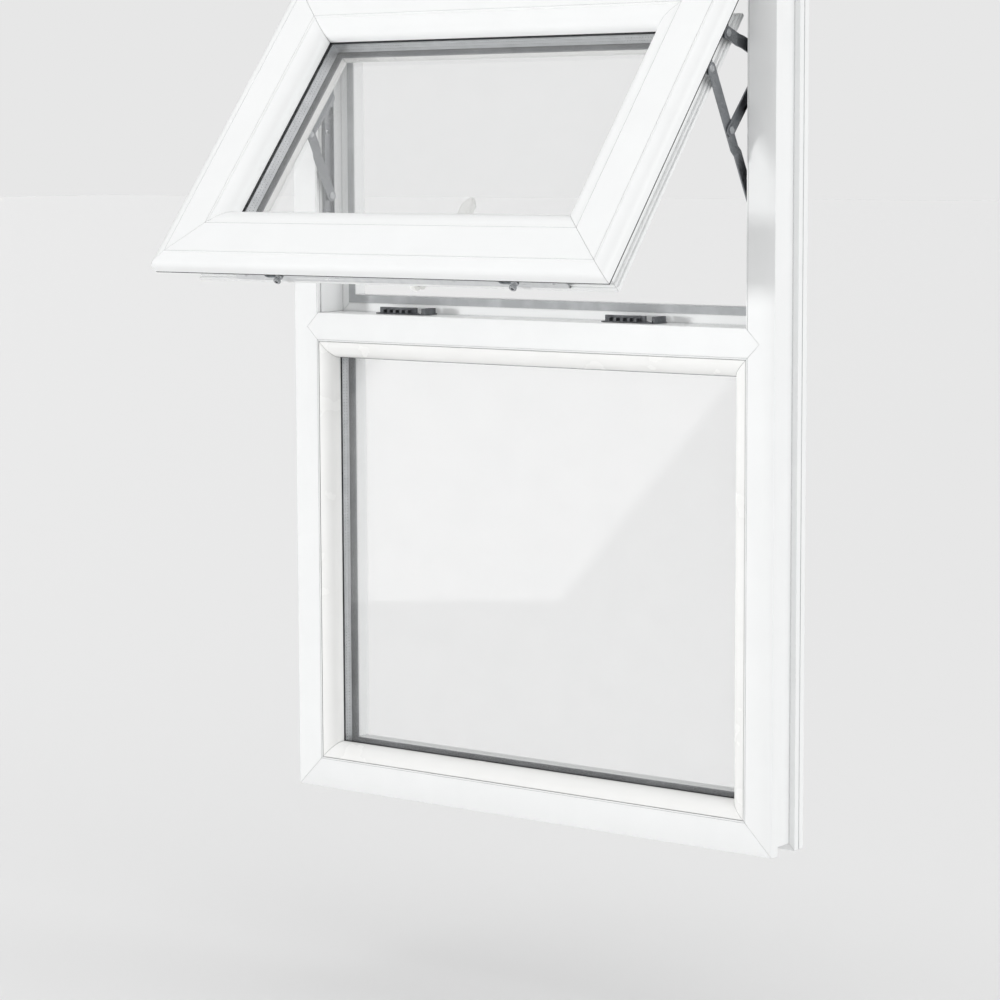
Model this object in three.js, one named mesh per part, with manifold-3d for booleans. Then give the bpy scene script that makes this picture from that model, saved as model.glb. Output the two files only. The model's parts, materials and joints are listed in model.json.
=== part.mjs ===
// A white PVC-U window: a top-hung casement that opens outwards over a fixed light.
// Millimetres. X runs along the width, Y from outdoors to indoors, Z up.
// The origin is on the underside of the sill's front leg, at the middle of the width.
import * as THREE from 'three';
import { mergeVertices } from 'three/addons/utils/BufferGeometryUtils.js';
import Module from 'manifold-3d';

const wasm = await Module();
wasm.setup();

// ---- driving dimensions -------------------------------------------------------------------
const FRAME_WIDTH = 740;
const FRAME_HEIGHT = 1100;
const FRAME_DEPTH = 70;
const FACE_WIDTH = 40; // sight width of the frame's outdoor face
const REBATE_DEPTH = 50; // from the outdoor face to the upstand
const UPSTAND_EDGE = 62; // inner edge of the upstand, from the frame's outer edge
const LEG_DEPTH = 13; // front leg of the frame's outer side
const CHANNEL_DEPTH = 8; // fixing channel between the two legs
const REAR_LEG_START = 51;
const WALL = 2.8; // outer wall of the extruded profiles
const UPSTAND_WALL = 3.4;
const CHAMBER_FRONT = 13.8; // main chamber, between its front and rear webs
const CHAMBER_REAR = 48;
const EDGE = 1.4; // radius of a profile's arris
const LINE = { half: 0.5, deep: 0.7, inset: 2 }; // V-shaped line near a face's edge
const BEAD_GROOVE = { front: 4.6, rear: 7, deep: 3 }; // takes the glazing bead's foot
const LEG_LINE = { front: 59.5, rear: 61.5, deep: 1.6, slope: 0.5 }; // groove in the rear leg

const TRANSOM_CENTRE = 608.5;
const TRANSOM_HALF = 18.5;
const TRANSOM_APEX = FACE_WIDTH - TRANSOM_HALF; // point of the arrow-headed end

const SASH_OVERLAP = 10.5; // cover of the sash over the frame's face, at the sides and below
const HEAD_OVERLAP = 8;
const SASH_FACE = -11; // the sash's flat face, from the front of its rim
const SASH_REAR = 59;
const SASH_BODY = 25.3; // the sash's body, from the edge of its rim
const RIM_THICKNESS = 8.4;
const RIM_FRONT = -11.4; // the closed rim's front, from the frame's outdoor face
const GLASS_EDGE = 89; // edge of the sash's visible glass
const REBATE_FLOOR = 70; // glazing rebate of the sash

const PANE = 4;
const CAVITY = 16;
const UNIT = 2 * PANE + CAVITY;
const SASH_PANE_FRONT = 13;
const LOWER_PANE_FRONT = 22.5;
const LOWER_GLASS_EDGE = 61;

const OPEN_ANGLE = THREE.MathUtils.degToRad(38.9);
const POLE_DEPTH = -43.5; // the line that the stays turn the sash about
const POLE_HEIGHT = 1060.5;

const FIXED_PIVOT = { depth: 20, height: 778 }; // long arm on the track
const UPPER_PIVOT = { depth: 20, height: 952 }; // short arm on the track
const BAR_DEPTH = 28; // centre line of the sash bar with the sash closed
const LINK_SHARE = 0.53; // how far up the long arm the link sits
const LINK_LENGTH = 63;
const ARM_WIDTH = 15;

const SPINDLE_HEIGHT = 51; // from the sash's lower edge
const LOCK_LINE = 46; // depth of the espagnolette's centre line in the sash
const CAM_SPACING = 178; // unlocked cams, from the middle of the width
const KEEP_LEAD = 28; // keep's middle, from the unlocked cam

const GAP = 0.3; // between neighbouring pieces
const WELD = 0.22; // set-back of each side of a mitre
const ARC_STEPS = 10;

// ---- derived places -------------------------------------------------------------------------
const HALF_WIDTH = FRAME_WIDTH / 2;
const FRONT = -LEG_DEPTH / 2; // Y of the outdoor face
const TRANSOM_TOP = TRANSOM_CENTRE + TRANSOM_HALF;
const TRANSOM_BOTTOM = TRANSOM_CENTRE - TRANSOM_HALF;
const SASH_WIDTH = FRAME_WIDTH - 2 * (FACE_WIDTH - SASH_OVERLAP);
const SASH_BOTTOM = TRANSOM_TOP - SASH_OVERLAP;
const SASH_HEIGHT = FRAME_HEIGHT - FACE_WIDTH + HEAD_OVERLAP - SASH_BOTTOM;
const SASH_UNDERSIDE = SASH_BOTTOM + SASH_BODY;
const LOWER_OUTLINE = { width: FRAME_WIDTH, height: TRANSOM_BOTTOM + FACE_WIDTH, bottom: 0 };
const UPPER_OUTLINE = {
  width: FRAME_WIDTH,
  height: FRAME_HEIGHT - TRANSOM_TOP + FACE_WIDTH,
  bottom: TRANSOM_TOP - FACE_WIDTH,
};
const SASH_OUTLINE = { width: SASH_WIDTH, height: SASH_HEIGHT, bottom: SASH_BOTTOM };

// ---- materials --------------------------------------------------------------------------------
const finish = (color, roughness, metalness = 0) =>
  new THREE.MeshStandardMaterial({ color, roughness, metalness });
const pvc = finish('#f4f5f5', 0.32);
const cappedPvc = finish('#f7f7f6', 0.4);
const glass = new THREE.MeshStandardMaterial({
  color: '#e4ecea', roughness: 0.03, transparent: true, opacity: 0.3,
});
const rubber = finish('#2b2c2e', 0.75);
const greyRubber = finish('#8b8d90', 0.7);
const spacerMetal = finish('#b9bcbe', 0.45, 0.9);
const stainless = finish('#8f9296', 0.34, 1);
const zincPlate = finish('#c9ccce', 0.38, 1);
const dieCast = finish('#54575b', 0.5, 1);
const galvanised = finish('#a7abae', 0.5, 1);
const enamel = finish('#f6f6f4', 0.3);

// ---- shape helpers ----------------------------------------------------------------------------
function outline(points) {
  return new THREE.Shape(points.map(([x, y]) => new THREE.Vector2(x, y)));
}

function rectangle(left, low, right, high) {
  return outline([[left, low], [right, low], [right, high], [left, high]]);
}

function withHoles(shape, holes) {
  shape.holes.push(...holes);
  return shape;
}

function stadium(length, width) {
  const radius = width / 2;
  const shape = new THREE.Shape();
  shape.absarc(0, 0, radius, Math.PI, 2 * Math.PI, false);
  shape.absarc(0, length, radius, 0, Math.PI, false);
  return shape;
}

function disc(x, y, radius) {
  return new THREE.Shape().absarc(x, y, radius, 0, 2 * Math.PI, false);
}

// A run of points on a quarter ellipse, from angle `from` to angle `to`, in quarter turns.
function quarter(centreX, centreY, radiusX, radiusY, from, to, steps = ARC_STEPS) {
  return Array.from({ length: steps + 1 }, (_, i) => {
    const angle = (from + ((to - from) * i) / steps) * (Math.PI / 2);
    return [centreX + radiusX * Math.cos(angle), centreY + radiusY * Math.sin(angle)];
  });
}

// A V-shaped line in a face, as three points of an outline.
const lineGroove = (x, y) => [[x - LINE.half, y], [x, y + LINE.deep], [x + LINE.half, y]];

function extrude(shape, depth) {
  return new THREE.ExtrudeGeometry(shape, { depth, bevelEnabled: false, curveSegments: ARC_STEPS });
}

// Rewrites every vertex with place(x, y, z), which returns the new three numbers.
function reshape(geometry, place) {
  const position = geometry.attributes.position;
  for (let i = 0; i < position.count; i += 1) {
    position.setXYZ(i, ...place(position.getX(i), position.getY(i), position.getZ(i)));
  }
  return geometry;
}

// A shape drawn in X and Z, made `depth` thick along Y from `start`.
const plateAlongY = (shape, start, depth) =>
  reshape(extrude(shape, depth), (x, y, z) => [x, start + depth - z, y]);

// A shape drawn in Y and Z, made `depth` thick along X from `start`.
const plateAlongX = (shape, start, depth) =>
  reshape(extrude(shape, depth), (x, y, z) => [start + z, x, y]);

const plateAlongZ = (shape, start, depth) => extrude(shape, depth).translate(0, 0, start);

function block(low, high) {
  const size = high.map((value, i) => value - low[i]);
  const middle = high.map((value, i) => (value + low[i]) / 2);
  return new THREE.BoxGeometry(...size).translate(...middle);
}

function toSolid(geometry) {
  const plain = geometry.clone();
  plain.deleteAttribute('normal');
  plain.deleteAttribute('uv');
  const merged = mergeVertices(plain);
  return new wasm.Manifold(
    new wasm.Mesh({
      numProp: 3,
      vertProperties: new Float32Array(merged.attributes.position.array),
      triVerts: new Uint32Array(merged.index.array),
    }),
  );
}

function toGeometry(solid) {
  const mesh = solid.getMesh();
  const geometry = new THREE.BufferGeometry();
  geometry.setAttribute('position', new THREE.BufferAttribute(mesh.vertProperties, mesh.numProp));
  geometry.setIndex(new THREE.BufferAttribute(mesh.triVerts, 1));
  return geometry;
}

const join = (first, ...rest) =>
  toGeometry(rest.reduce((sum, geometry) => sum.add(toSolid(geometry)), toSolid(first)));
const cut = (first, ...rest) =>
  toGeometry(rest.reduce((left, geometry) => left.subtract(toSolid(geometry)), toSolid(first)));
const common = (first, second) => toGeometry(toSolid(first).intersect(toSolid(second)));

// The same piece for the other side of the window.
function mirrored(geometry) {
  const flipped = geometry.index ? geometry.toNonIndexed() : geometry.clone();
  const position = flipped.attributes.position;
  for (let i = 0; i < position.count; i += 3) {
    const corner = [0, 2, 1].map((k) => [
      -position.getX(i + k), position.getY(i + k), position.getZ(i + k),
    ]);
    corner.forEach((point, k) => position.setXYZ(i + k, ...point));
  }
  return flipped;
}

const forSide = (geometry, side) => (side > 0 ? geometry : mirrored(geometry));

function node(name, geometry, material) {
  const mesh = new THREE.Mesh(geometry, material);
  mesh.name = name;
  return mesh;
}

// A length of profile, cut at both ends by cutBack(inward): 45 degrees where it grows with inward.
// The section is drawn in (inward, depth); the bar lies along X with its outer edge at Z = 0.
function cutBar(section, length, cutBack = (inward) => inward + WELD) {
  return reshape(extrude(section, 1), (inward, depth, end) => {
    const back = cutBack(inward);
    return [end > 0.5 ? back : length - back, depth, inward];
  });
}

// Places four bars round an outline: below, right, above and left.
function fourBars(names, geometries, shape, material) {
  const { width, height, bottom } = shape;
  const corners = [[0, 0], [width, 0], [width, height], [0, height]];
  const turns = [0, -0.5, 1, 0.5];
  return names.map((name, i) => {
    const bar = node(name, geometries[i], material);
    bar.rotation.y = turns[i] * Math.PI;
    bar.position.set(corners[i][0] - width / 2, 0, corners[i][1] + bottom);
    return bar;
  });
}

function mitredBars(names, section, shape, material) {
  const { width, height } = shape;
  const bars = [width, height, width, height].map((length) => cutBar(section, length));
  return fourBars(names, bars, shape, material);
}

// A flat ring inside an outline, from one inset to another, with softly rounded edges if `round`.
function ring(shape, outer, inner, start, depth, round = 0) {
  const { width, height, bottom } = shape;
  const box = (inset) =>
    rectangle(-width / 2 + inset, bottom + inset, width / 2 - inset, bottom + height - inset);
  const body = withHoles(box(outer + round), [box(inner - round)]);
  const geometry = new THREE.ExtrudeGeometry(body, {
    depth: depth - 2 * round,
    bevelEnabled: round > 0,
    bevelSize: round,
    bevelThickness: round,
    bevelSegments: 2,
  });
  return reshape(geometry, (x, y, z) => [x, start + depth - round - z, y]);
}

// A pane of glass inside an outline.
function pane(shape, inset, start) {
  const { width, height, bottom } = shape;
  return block(
    [-width / 2 + inset, start, bottom + inset],
    [width / 2 - inset, start + PANE, bottom + height - inset],
  );
}

// ---- frame -------------------------------------------------------------------------------------
// The groove in a reveal that a bead clips into, cut `side` of an edge, from the face inwards.
function beadGroove(edge, side) {
  const { front, rear, deep } = BEAD_GROOVE;
  const bottom = edge + side * deep;
  return [[edge, front], [bottom, front], [bottom, rear], [edge, rear]];
}

// Outer frame profile, in (inward, depth from the outdoor face).
function frameSection() {
  const section = outline([
    ...quarter(EDGE, EDGE, EDGE, EDGE, -2, -1, 2),
    ...lineGroove(FACE_WIDTH - LINE.inset, 0),
    [FACE_WIDTH - 0.4, 0],
    [FACE_WIDTH, 0.4],
    ...beadGroove(FACE_WIDTH, -1),
    [FACE_WIDTH, REBATE_DEPTH],
    [UPSTAND_EDGE - 1, REBATE_DEPTH],
    [UPSTAND_EDGE, REBATE_DEPTH + 1],
    ...quarter(UPSTAND_EDGE - EDGE, FRAME_DEPTH - EDGE, EDGE, EDGE, 0, 1, 2),
    [0, FRAME_DEPTH],
    [0, LEG_LINE.rear], [LEG_LINE.deep, LEG_LINE.rear - LEG_LINE.slope],
    [LEG_LINE.deep, LEG_LINE.front + LEG_LINE.slope], [0, LEG_LINE.front],
    [0, REAR_LEG_START],
    [CHANNEL_DEPTH, REAR_LEG_START],
    [CHANNEL_DEPTH, LEG_DEPTH],
    [0, LEG_DEPTH],
  ]);
  const behindGroove = FACE_WIDTH - BEAD_GROOVE.deep - WALL;
  return withHoles(section, [
    rectangle(WALL, WALL, behindGroove - 1, LEG_DEPTH - WALL),
    rectangle(CHANNEL_DEPTH + WALL, CHAMBER_FRONT, FACE_WIDTH - WALL, CHAMBER_REAR),
    rectangle(WALL, REBATE_DEPTH + UPSTAND_WALL, UPSTAND_EDGE - WALL, FRAME_DEPTH - WALL),
  ]);
}

// The transom is the frame profile's face and upstand on both sides of a centre line.
function transomSection() {
  const half = TRANSOM_HALF;
  const top = half + UPSTAND_EDGE - FACE_WIDTH;
  return withHoles(
    outline([
      [-half + 0.4, 0], ...lineGroove(-half + LINE.inset, 0), [0, 0], [half - EDGE, 0],
      ...quarter(half - EDGE, EDGE, EDGE, EDGE, -1, 0, 2).slice(1),
      ...beadGroove(half, -1),
      [half, REBATE_DEPTH], [top - 1, REBATE_DEPTH], [top, REBATE_DEPTH + 1],
      ...quarter(top - EDGE, FRAME_DEPTH - EDGE, EDGE, EDGE, 0, 1, 2),
      [0, FRAME_DEPTH],
      ...quarter(-top + EDGE, FRAME_DEPTH - EDGE, EDGE, EDGE, 1, 2, 2),
      [-top, REBATE_DEPTH + 1], [-top + 1, REBATE_DEPTH], [-half, REBATE_DEPTH],
      ...beadGroove(-half, 1).reverse(), [-half, 0.4],
    ]),
    [
      chamber(half - BEAD_GROOVE.deep - WALL, WALL, LEG_DEPTH - WALL),
      chamber(half - WALL, CHAMBER_FRONT, CHAMBER_REAR),
      chamber(top - WALL, REBATE_DEPTH + UPSTAND_WALL, FRAME_DEPTH - WALL),
    ],
  );
}

// A chamber across the centre line, with points on it for the arrow-headed end.
const chamber = (half, low, high) =>
  outline([[-half, low], [0, low], [half, low], [half, high], [0, high], [-half, high]]);

// The notch that the transom's end is welded into.
function transomNotch(along) {
  const reach = UPSTAND_EDGE + WALL - TRANSOM_APEX;
  const apex = TRANSOM_APEX - WELD;
  const arrow = outline([
    [along, apex], [along + reach, apex + reach], [along - reach, apex + reach],
  ]);
  return plateAlongY(arrow, -1, FRAME_DEPTH + 2);
}

function makeFrame() {
  const section = frameSection();
  const jamb = cutBar(section, FRAME_HEIGHT);
  const bars = fourBars(
    ['frame_sill', 'frame_jamb_right', 'frame_head', 'frame_jamb_left'],
    [
      cutBar(section, FRAME_WIDTH),
      cut(jamb, transomNotch(TRANSOM_CENTRE)),
      cutBar(section, FRAME_WIDTH),
      cut(jamb, transomNotch(FRAME_HEIGHT - TRANSOM_CENTRE)),
    ],
    { width: FRAME_WIDTH, height: FRAME_HEIGHT, bottom: 0 },
    pvc,
  );
  const transom = node(
    'transom',
    cutBar(transomSection(), FRAME_WIDTH, (offset) => TRANSOM_APEX + Math.abs(offset) + WELD),
    pvc,
  );
  transom.position.set(-HALF_WIDTH, 0, TRANSOM_CENTRE);
  return [...bars, transom, ...makeReinforcement(), makeRebateSeal()];
}

// Folded steel channels inside the profiles' main chambers.
function steelChannel(low, high, sheet = 1.5) {
  const [lowInward, lowDepth] = low;
  const [highInward, highDepth] = high;
  return outline([
    [lowInward, lowDepth], [highInward, lowDepth],
    [highInward, lowDepth + sheet], [lowInward + sheet, lowDepth + sheet],
    [lowInward + sheet, highDepth - sheet], [highInward, highDepth - sheet],
    [highInward, highDepth], [lowInward, highDepth],
  ]);
}

function makeReinforcement() {
  const clearance = 0.6;
  const front = CHAMBER_FRONT + clearance;
  const rear = CHAMBER_REAR - clearance;
  const start = 70; // clear of the welded corners
  const jambSection = steelChannel(
    [CHANNEL_DEPTH + WALL + clearance, front],
    [FACE_WIDTH - WALL - clearance, rear],
  );
  const jambSteel = plateAlongZ(jambSection, start, TRANSOM_BOTTOM - 2 * start);
  const half = TRANSOM_HALF - WALL - clearance;
  const transomSteel = cutBar(steelChannel([-half, front], [half, rear]), FRAME_WIDTH, () => start);
  const left = node('jamb_steel_left', jambSteel, galvanised);
  left.position.x = -HALF_WIDTH;
  const right = node('jamb_steel_right', mirrored(jambSteel), galvanised);
  right.position.x = HALF_WIDTH;
  const across = node('transom_steel', transomSteel, galvanised);
  across.position.set(-HALF_WIDTH, 0, TRANSOM_CENTRE);
  return [left, right, across];
}

// The seal that the closed sash's rear face rests on.
function makeRebateSeal() {
  const thickness = 1.8;
  const start = REBATE_DEPTH - GAP - thickness;
  const seal = ring(UPPER_OUTLINE, UPSTAND_EDGE - 10, UPSTAND_EDGE, start, thickness, 0.5);
  return node('frame_rebate_seal', seal, greyRubber);
}

// ---- glazing ------------------------------------------------------------------------------------
// Sculptured glazing bead of the fixed light: an ovolo that falls from the face to the glass.
function lowerBeadSection() {
  const back = LOWER_PANE_FRONT - 3;
  const root = FACE_WIDTH + GAP;
  const shoulder = FACE_WIDTH + 3;
  return outline([
    [root, 1.2],
    [root + 0.9, GAP],
    [shoulder, GAP],
    ...quarter(shoulder, back - 2.5, LOWER_GLASS_EDGE - shoulder, back - 2.5 - GAP, -1, 0),
    [LOWER_GLASS_EDGE, back],
    [root, back],
  ]);
}

// Indoor glazing bead of the sash.
function sashBeadSection() {
  const start = SASH_PANE_FRONT + UNIT + 3;
  const root = REBATE_FLOOR + GAP;
  return outline([
    [root, start],
    [GLASS_EDGE, start],
    [GLASS_EDGE, start + 3],
    ...quarter(root + 3, start + 3, GLASS_EDGE - root - 3, SASH_REAR - start - 3, 0, 1).slice(1),
    [root, SASH_REAR],
  ]);
}

const GASKET = { thickness: 2.4, width: 11, proud: 0.8, round: 0.4 };
const SPACER = { inset: 5, width: 7 }; // from the edge of the panes
const PANE_CLEARANCE = 4; // from the rebate's floor to the edge of the panes

// Two panes, the spacer between them and the two gaskets that hold the unit.
function makeGlazing(prefix, shape, front, rebateFloor, sightEdge) {
  const edge = rebateFloor + PANE_CLEARANCE;
  const rim = edge + SPACER.inset;
  const spacer = ring(shape, rim, rim + SPACER.width, front + PANE + GAP, CAVITY - 2 * GAP);
  const { thickness, width, proud, round } = GASKET;
  const gasket = (start) =>
    ring(shape, sightEdge - width, sightEdge + proud, start, thickness, round);
  return [
    node(`${prefix}_glass_outer`, pane(shape, edge, front), glass),
    node(`${prefix}_glass_inner`, pane(shape, edge, front + PANE + CAVITY), glass),
    node(`${prefix}_spacer`, spacer, spacerMetal),
    node(`${prefix}_gasket_outer`, gasket(front - GAP - thickness), rubber),
    node(`${prefix}_gasket_inner`, gasket(front + UNIT + GAP), rubber),
  ];
}

const BEAD_SIDES = ['bottom', 'right', 'top', 'left'];

function makeLowerLight() {
  const names = BEAD_SIDES.map((side) => `lower_bead_${side}`);
  return [
    ...mitredBars(names, lowerBeadSection(), LOWER_OUTLINE, cappedPvc),
    ...makeGlazing('lower', LOWER_OUTLINE, LOWER_PANE_FRONT, FACE_WIDTH, LOWER_GLASS_EDGE),
  ];
}

// ---- sash ---------------------------------------------------------------------------------------
const SASH_WEB = 37; // web between the sash's two rear chambers

// The sash profile, in (inward from the rim's edge, depth from the rim's front).
function sashSection() {
  const shoulder = 16; // top of the outer ovolo
  const inner = 65; // top of the inner ovolo
  const lip = SASH_PANE_FRONT - 3;
  const behindHardware = SASH_BODY + GROOVE.barDeep + WALL;
  return withHoles(
    outline([
      [0, RIM_THICKNESS], [0, 0.6],
      ...quarter(shoulder, 0.6, shoulder, 0.6 - SASH_FACE - 0.8, -2, -1),
      [shoulder + 0.8, SASH_FACE],
      ...lineGroove(shoulder + LINE.inset + 0.4, SASH_FACE),
      ...lineGroove(inner - LINE.inset - 1.4, SASH_FACE),
      [inner - 1, SASH_FACE], [inner - 0.2, SASH_FACE + 1],
      ...quarter(inner, lip - 2.5, GLASS_EDGE - inner, lip - 3.5 - SASH_FACE, -1, 0),
      [GLASS_EDGE, lip],
      [REBATE_FLOOR, lip],
      ...quarter(REBATE_FLOOR - EDGE, SASH_REAR - EDGE, EDGE, EDGE, 0, 1, 2),
      ...quarter(SASH_BODY + EDGE, SASH_REAR - EDGE, EDGE, EDGE, 1, 2, 2),
      ...hardwareGroove(),
      [SASH_BODY, RIM_THICKNESS],
    ]),
    [
      rectangle(SASH_BODY + WALL, RIM_THICKNESS + WALL, REBATE_FLOOR - WALL, SASH_WEB - WALL / 2),
      rectangle(shoulder + 4, SASH_FACE + WALL + 1, inner - 2, RIM_THICKNESS - WALL),
      rectangle(behindHardware, SASH_WEB + WALL / 2, REBATE_FLOOR - WALL, SASH_REAR - WALL),
    ],
  );
}

// The stepped groove in the sash's edge that takes the faceplate and the drive bar.
const GROOVE = { face: 16.4, faceDeep: 2.8, bar: 10.6, barDeep: 6.2 };

function hardwareGroove() {
  const { face, faceDeep, bar, barDeep } = GROOVE;
  const level = (half, deep) => [SASH_BODY + deep, LOCK_LINE + half];
  return [
    level(face / 2, 0), level(face / 2, faceDeep), level(bar / 2, faceDeep), level(bar / 2, barDeep),
    level(-bar / 2, barDeep), level(-bar / 2, faceDeep), level(-face / 2, faceDeep), level(-face / 2, 0),
  ];
}

const GEARBOX = { halfLength: 40, start: 32, end: 62, front: 39, rear: 53 };
const SPINDLE_BORE = 5.4;

// Room in the bottom rail for the gearbox and, through the indoor wall, for the spindle.
function railPockets() {
  const { halfLength, end, front, rear } = GEARBOX;
  const middle = SASH_WIDTH / 2;
  const room = block(
    [middle - halfLength - 1, front - 1, SASH_BODY + GROOVE.barDeep - 0.5],
    [middle + halfLength + 1, rear + 1, end + 1],
  );
  const bore = plateAlongY(disc(middle, SPINDLE_HEIGHT, SPINDLE_BORE + 0.8), rear, SASH_REAR - rear + 1);
  return [room, bore];
}

function makeSashFrame() {
  const section = sashSection();
  const lengths = [SASH_WIDTH, SASH_HEIGHT, SASH_WIDTH, SASH_HEIGHT];
  const bars = lengths.map((length) => cutBar(section, length));
  bars[0] = cut(bars[0], ...railPockets());
  const names = ['sash_rail_bottom', 'sash_stile_right', 'sash_rail_top', 'sash_stile_left'];
  const beadNames = BEAD_SIDES.map((side) => `sash_bead_${side}`);
  const rimSeal = { outer: 3, inner: 7.5, thickness: 2.1, round: 0.5 };
  const seal = ring(
    SASH_OUTLINE, rimSeal.outer, rimSeal.inner, RIM_THICKNESS + GAP, rimSeal.thickness, rimSeal.round,
  );
  return [
    ...fourBars(names, bars, SASH_OUTLINE, pvc),
    ...mitredBars(beadNames, sashBeadSection(), SASH_OUTLINE, cappedPvc),
    ...makeGlazing('sash', SASH_OUTLINE, SASH_PANE_FRONT, REBATE_FLOOR, GLASS_EDGE),
    node('sash_rim_seal', seal, rubber),
  ];
}

// ---- lock ---------------------------------------------------------------------------------------
const PLATE_THICKNESS = 2.4;
const PLATE_RECESS = 0.1;
const FACEPLATE_HALF = 250;
const CAM_TRAVEL = 20;
const CAM_PIN = 3;
const CAM_ROLLER = { radius: 4.5, length: 9 };

// The slot that a cam's pin slides in, with 1 mm to spare at each end.
function camSlot(x) {
  const points = stadium(CAM_TRAVEL + 2, 2 * CAM_PIN + 1).getPoints(ARC_STEPS);
  return outline(points.map((point) => [x + 1 - point.y, point.x + LOCK_LINE]));
}

function makeFaceplate() {
  const halfWidth = GROOVE.face / 2 - 0.2;
  const strip = withHoles(
    rectangle(-FACEPLATE_HALF, LOCK_LINE - halfWidth, FACEPLATE_HALF, LOCK_LINE + halfWidth),
    [camSlot(-CAM_SPACING), camSlot(CAM_SPACING)],
  );
  const plate = plateAlongZ(strip, SASH_UNDERSIDE + PLATE_RECESS, PLATE_THICKNESS);
  return node('espag_faceplate', plate, zincPlate);
}

function makeGearbox() {
  const { halfLength, start, end, front, rear } = GEARBOX;
  const shape = withHoles(
    rectangle(-halfLength, SASH_BOTTOM + start, halfLength, SASH_BOTTOM + end),
    [disc(0, SASH_BOTTOM + SPINDLE_HEIGHT, SPINDLE_BORE)],
  );
  return node('espag_gearbox', plateAlongY(shape, front, rear - front), zincPlate);
}

function makeDriveBar() {
  const half = CAM_SPACING + 24;
  const halfWidth = 4.5;
  const low = SASH_UNDERSIDE + PLATE_RECESS + PLATE_THICKNESS + GAP;
  return node(
    'espag_drive_bar',
    block([-half, LOCK_LINE - halfWidth, low], [half, LOCK_LINE + halfWidth, low + 2.4]),
    galvanised,
  );
}

// A roller cam: a pin through the faceplate's slot and a roller below it.
function makeCam(name, x) {
  const under = SASH_UNDERSIDE - GAP;
  const { radius, length } = CAM_ROLLER;
  const roller = plateAlongZ(disc(x, LOCK_LINE, radius), under - length, length);
  const pin = plateAlongZ(disc(x, LOCK_LINE, CAM_PIN), under - 1, PLATE_THICKNESS + 1 + GAP);
  return node(name, join(roller, pin), stainless);
}

// Die-cast keep on the transom: base, outdoor lip and end stop.
function makeKeep(name, x) {
  const floor = TRANSOM_TOP + GAP;
  const base = { from: -40, to: 40, front: 17, rear: 43, height: 1.5 };
  const lip = { from: base.from, to: 19, front: 25, rear: 29.4, height: 8.4 };
  const stop = { from: 34.6, to: base.to, front: base.front, rear: 40, height: lip.height };
  const ribs = [-33, -23, -13, -3, 7].map((from) => ({
    from, to: from + 4, front: 18.5, rear: 26, height: 5.5,
  }));
  const [first, ...rest] = [base, lip, stop, ...ribs].map(({ from, to, front, rear, height }) =>
    block([x + from, FRONT + front, floor], [x + to, FRONT + rear, floor + height]),
  );
  return node(name, join(first, ...rest), dieCast);
}

// ---- handle -------------------------------------------------------------------------------------
const BASE = { straight: 110, radius: 15, thickness: 10 };
const BASE_REAR = SASH_REAR + GAP + BASE.thickness;
const LEVER = { foot: -13, length: 140, rise: 22, crank: 58 }; // rise: grip off the sash
const LEVER_DEPTH = 83; // middle of the lever over the spindle
const LEVER_BOSS = { radius: 11.5, thickness: 12 };
const SPINDLE_HALF = 3.5;
const BUTTON = { radius: 5, start: 88.3, length: 6.7 };

// Makes a circle's coordinates into those of a rounded square.
const squared = (value) => Math.sign(value) * Math.abs(value) ** 0.75;

// Rings of points joined into one closed skin, each ring a rounded section at its own place.
function loft(stations, around = 12) {
  const points = [];
  const faces = [];
  stations.forEach(({ height, depth, halfWidth, halfThickness }) => {
    for (let i = 0; i < around; i += 1) {
      const angle = (2 * Math.PI * i) / around;
      const x = halfWidth * squared(Math.cos(angle));
      points.push(x, depth + halfThickness * squared(Math.sin(angle)), height);
    }
  });
  for (let s = 0; s + 1 < stations.length; s += 1) {
    for (let i = 0; i < around; i += 1) {
      const next = (i + 1) % around;
      const [a, b] = [s * around + i, s * around + next];
      faces.push(a, b, b + around, a, b + around, a + around);
    }
  }
  const last = (stations.length - 1) * around;
  for (let i = 1; i + 1 < around; i += 1) {
    faces.push(0, i + 1, i, last, last + i, last + i + 1);
  }
  const geometry = new THREE.BufferGeometry();
  geometry.setAttribute('position', new THREE.Float32BufferAttribute(points, 3));
  geometry.setIndex(faces);
  return geometry;
}

// The cranked lever: a boss over the spindle and a grip that stands clear of the sash.
function leverGeometry() {
  const count = 14;
  const rounded = (past) => Math.sqrt(1 - Math.max(0, past) ** 2);
  const stations = Array.from({ length: count + 1 }, (_, i) => {
    const along = i / count;
    const height = LEVER.foot + (LEVER.length - LEVER.foot) * along;
    const raised = THREE.MathUtils.smoothstep(height, 0, LEVER.crank);
    const taper = rounded((along - 0.93) / 0.075) * rounded((0.09 - along) / 0.095);
    return {
      height,
      depth: LEVER_DEPTH + LEVER.rise * raised,
      halfWidth: (12.5 - 2.5 * raised) * taper,
      halfThickness: (8.5 - 2.3 * raised) * Math.max(0.5, taper),
    };
  });
  const { radius, thickness } = LEVER_BOSS;
  const boss = plateAlongY(disc(0, 0, radius), BASE_REAR + GAP, thickness);
  const bore = plateAlongY(disc(0, 0, BUTTON.radius + GAP), BUTTON.start - WALL, 2 * thickness);
  const half = SPINDLE_HALF + GAP;
  const socket = plateAlongY(rectangle(-half, -half, half, half), BASE_REAR - 1, 8);
  return cut(join(loft(stations), boss), bore, socket);
}

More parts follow.
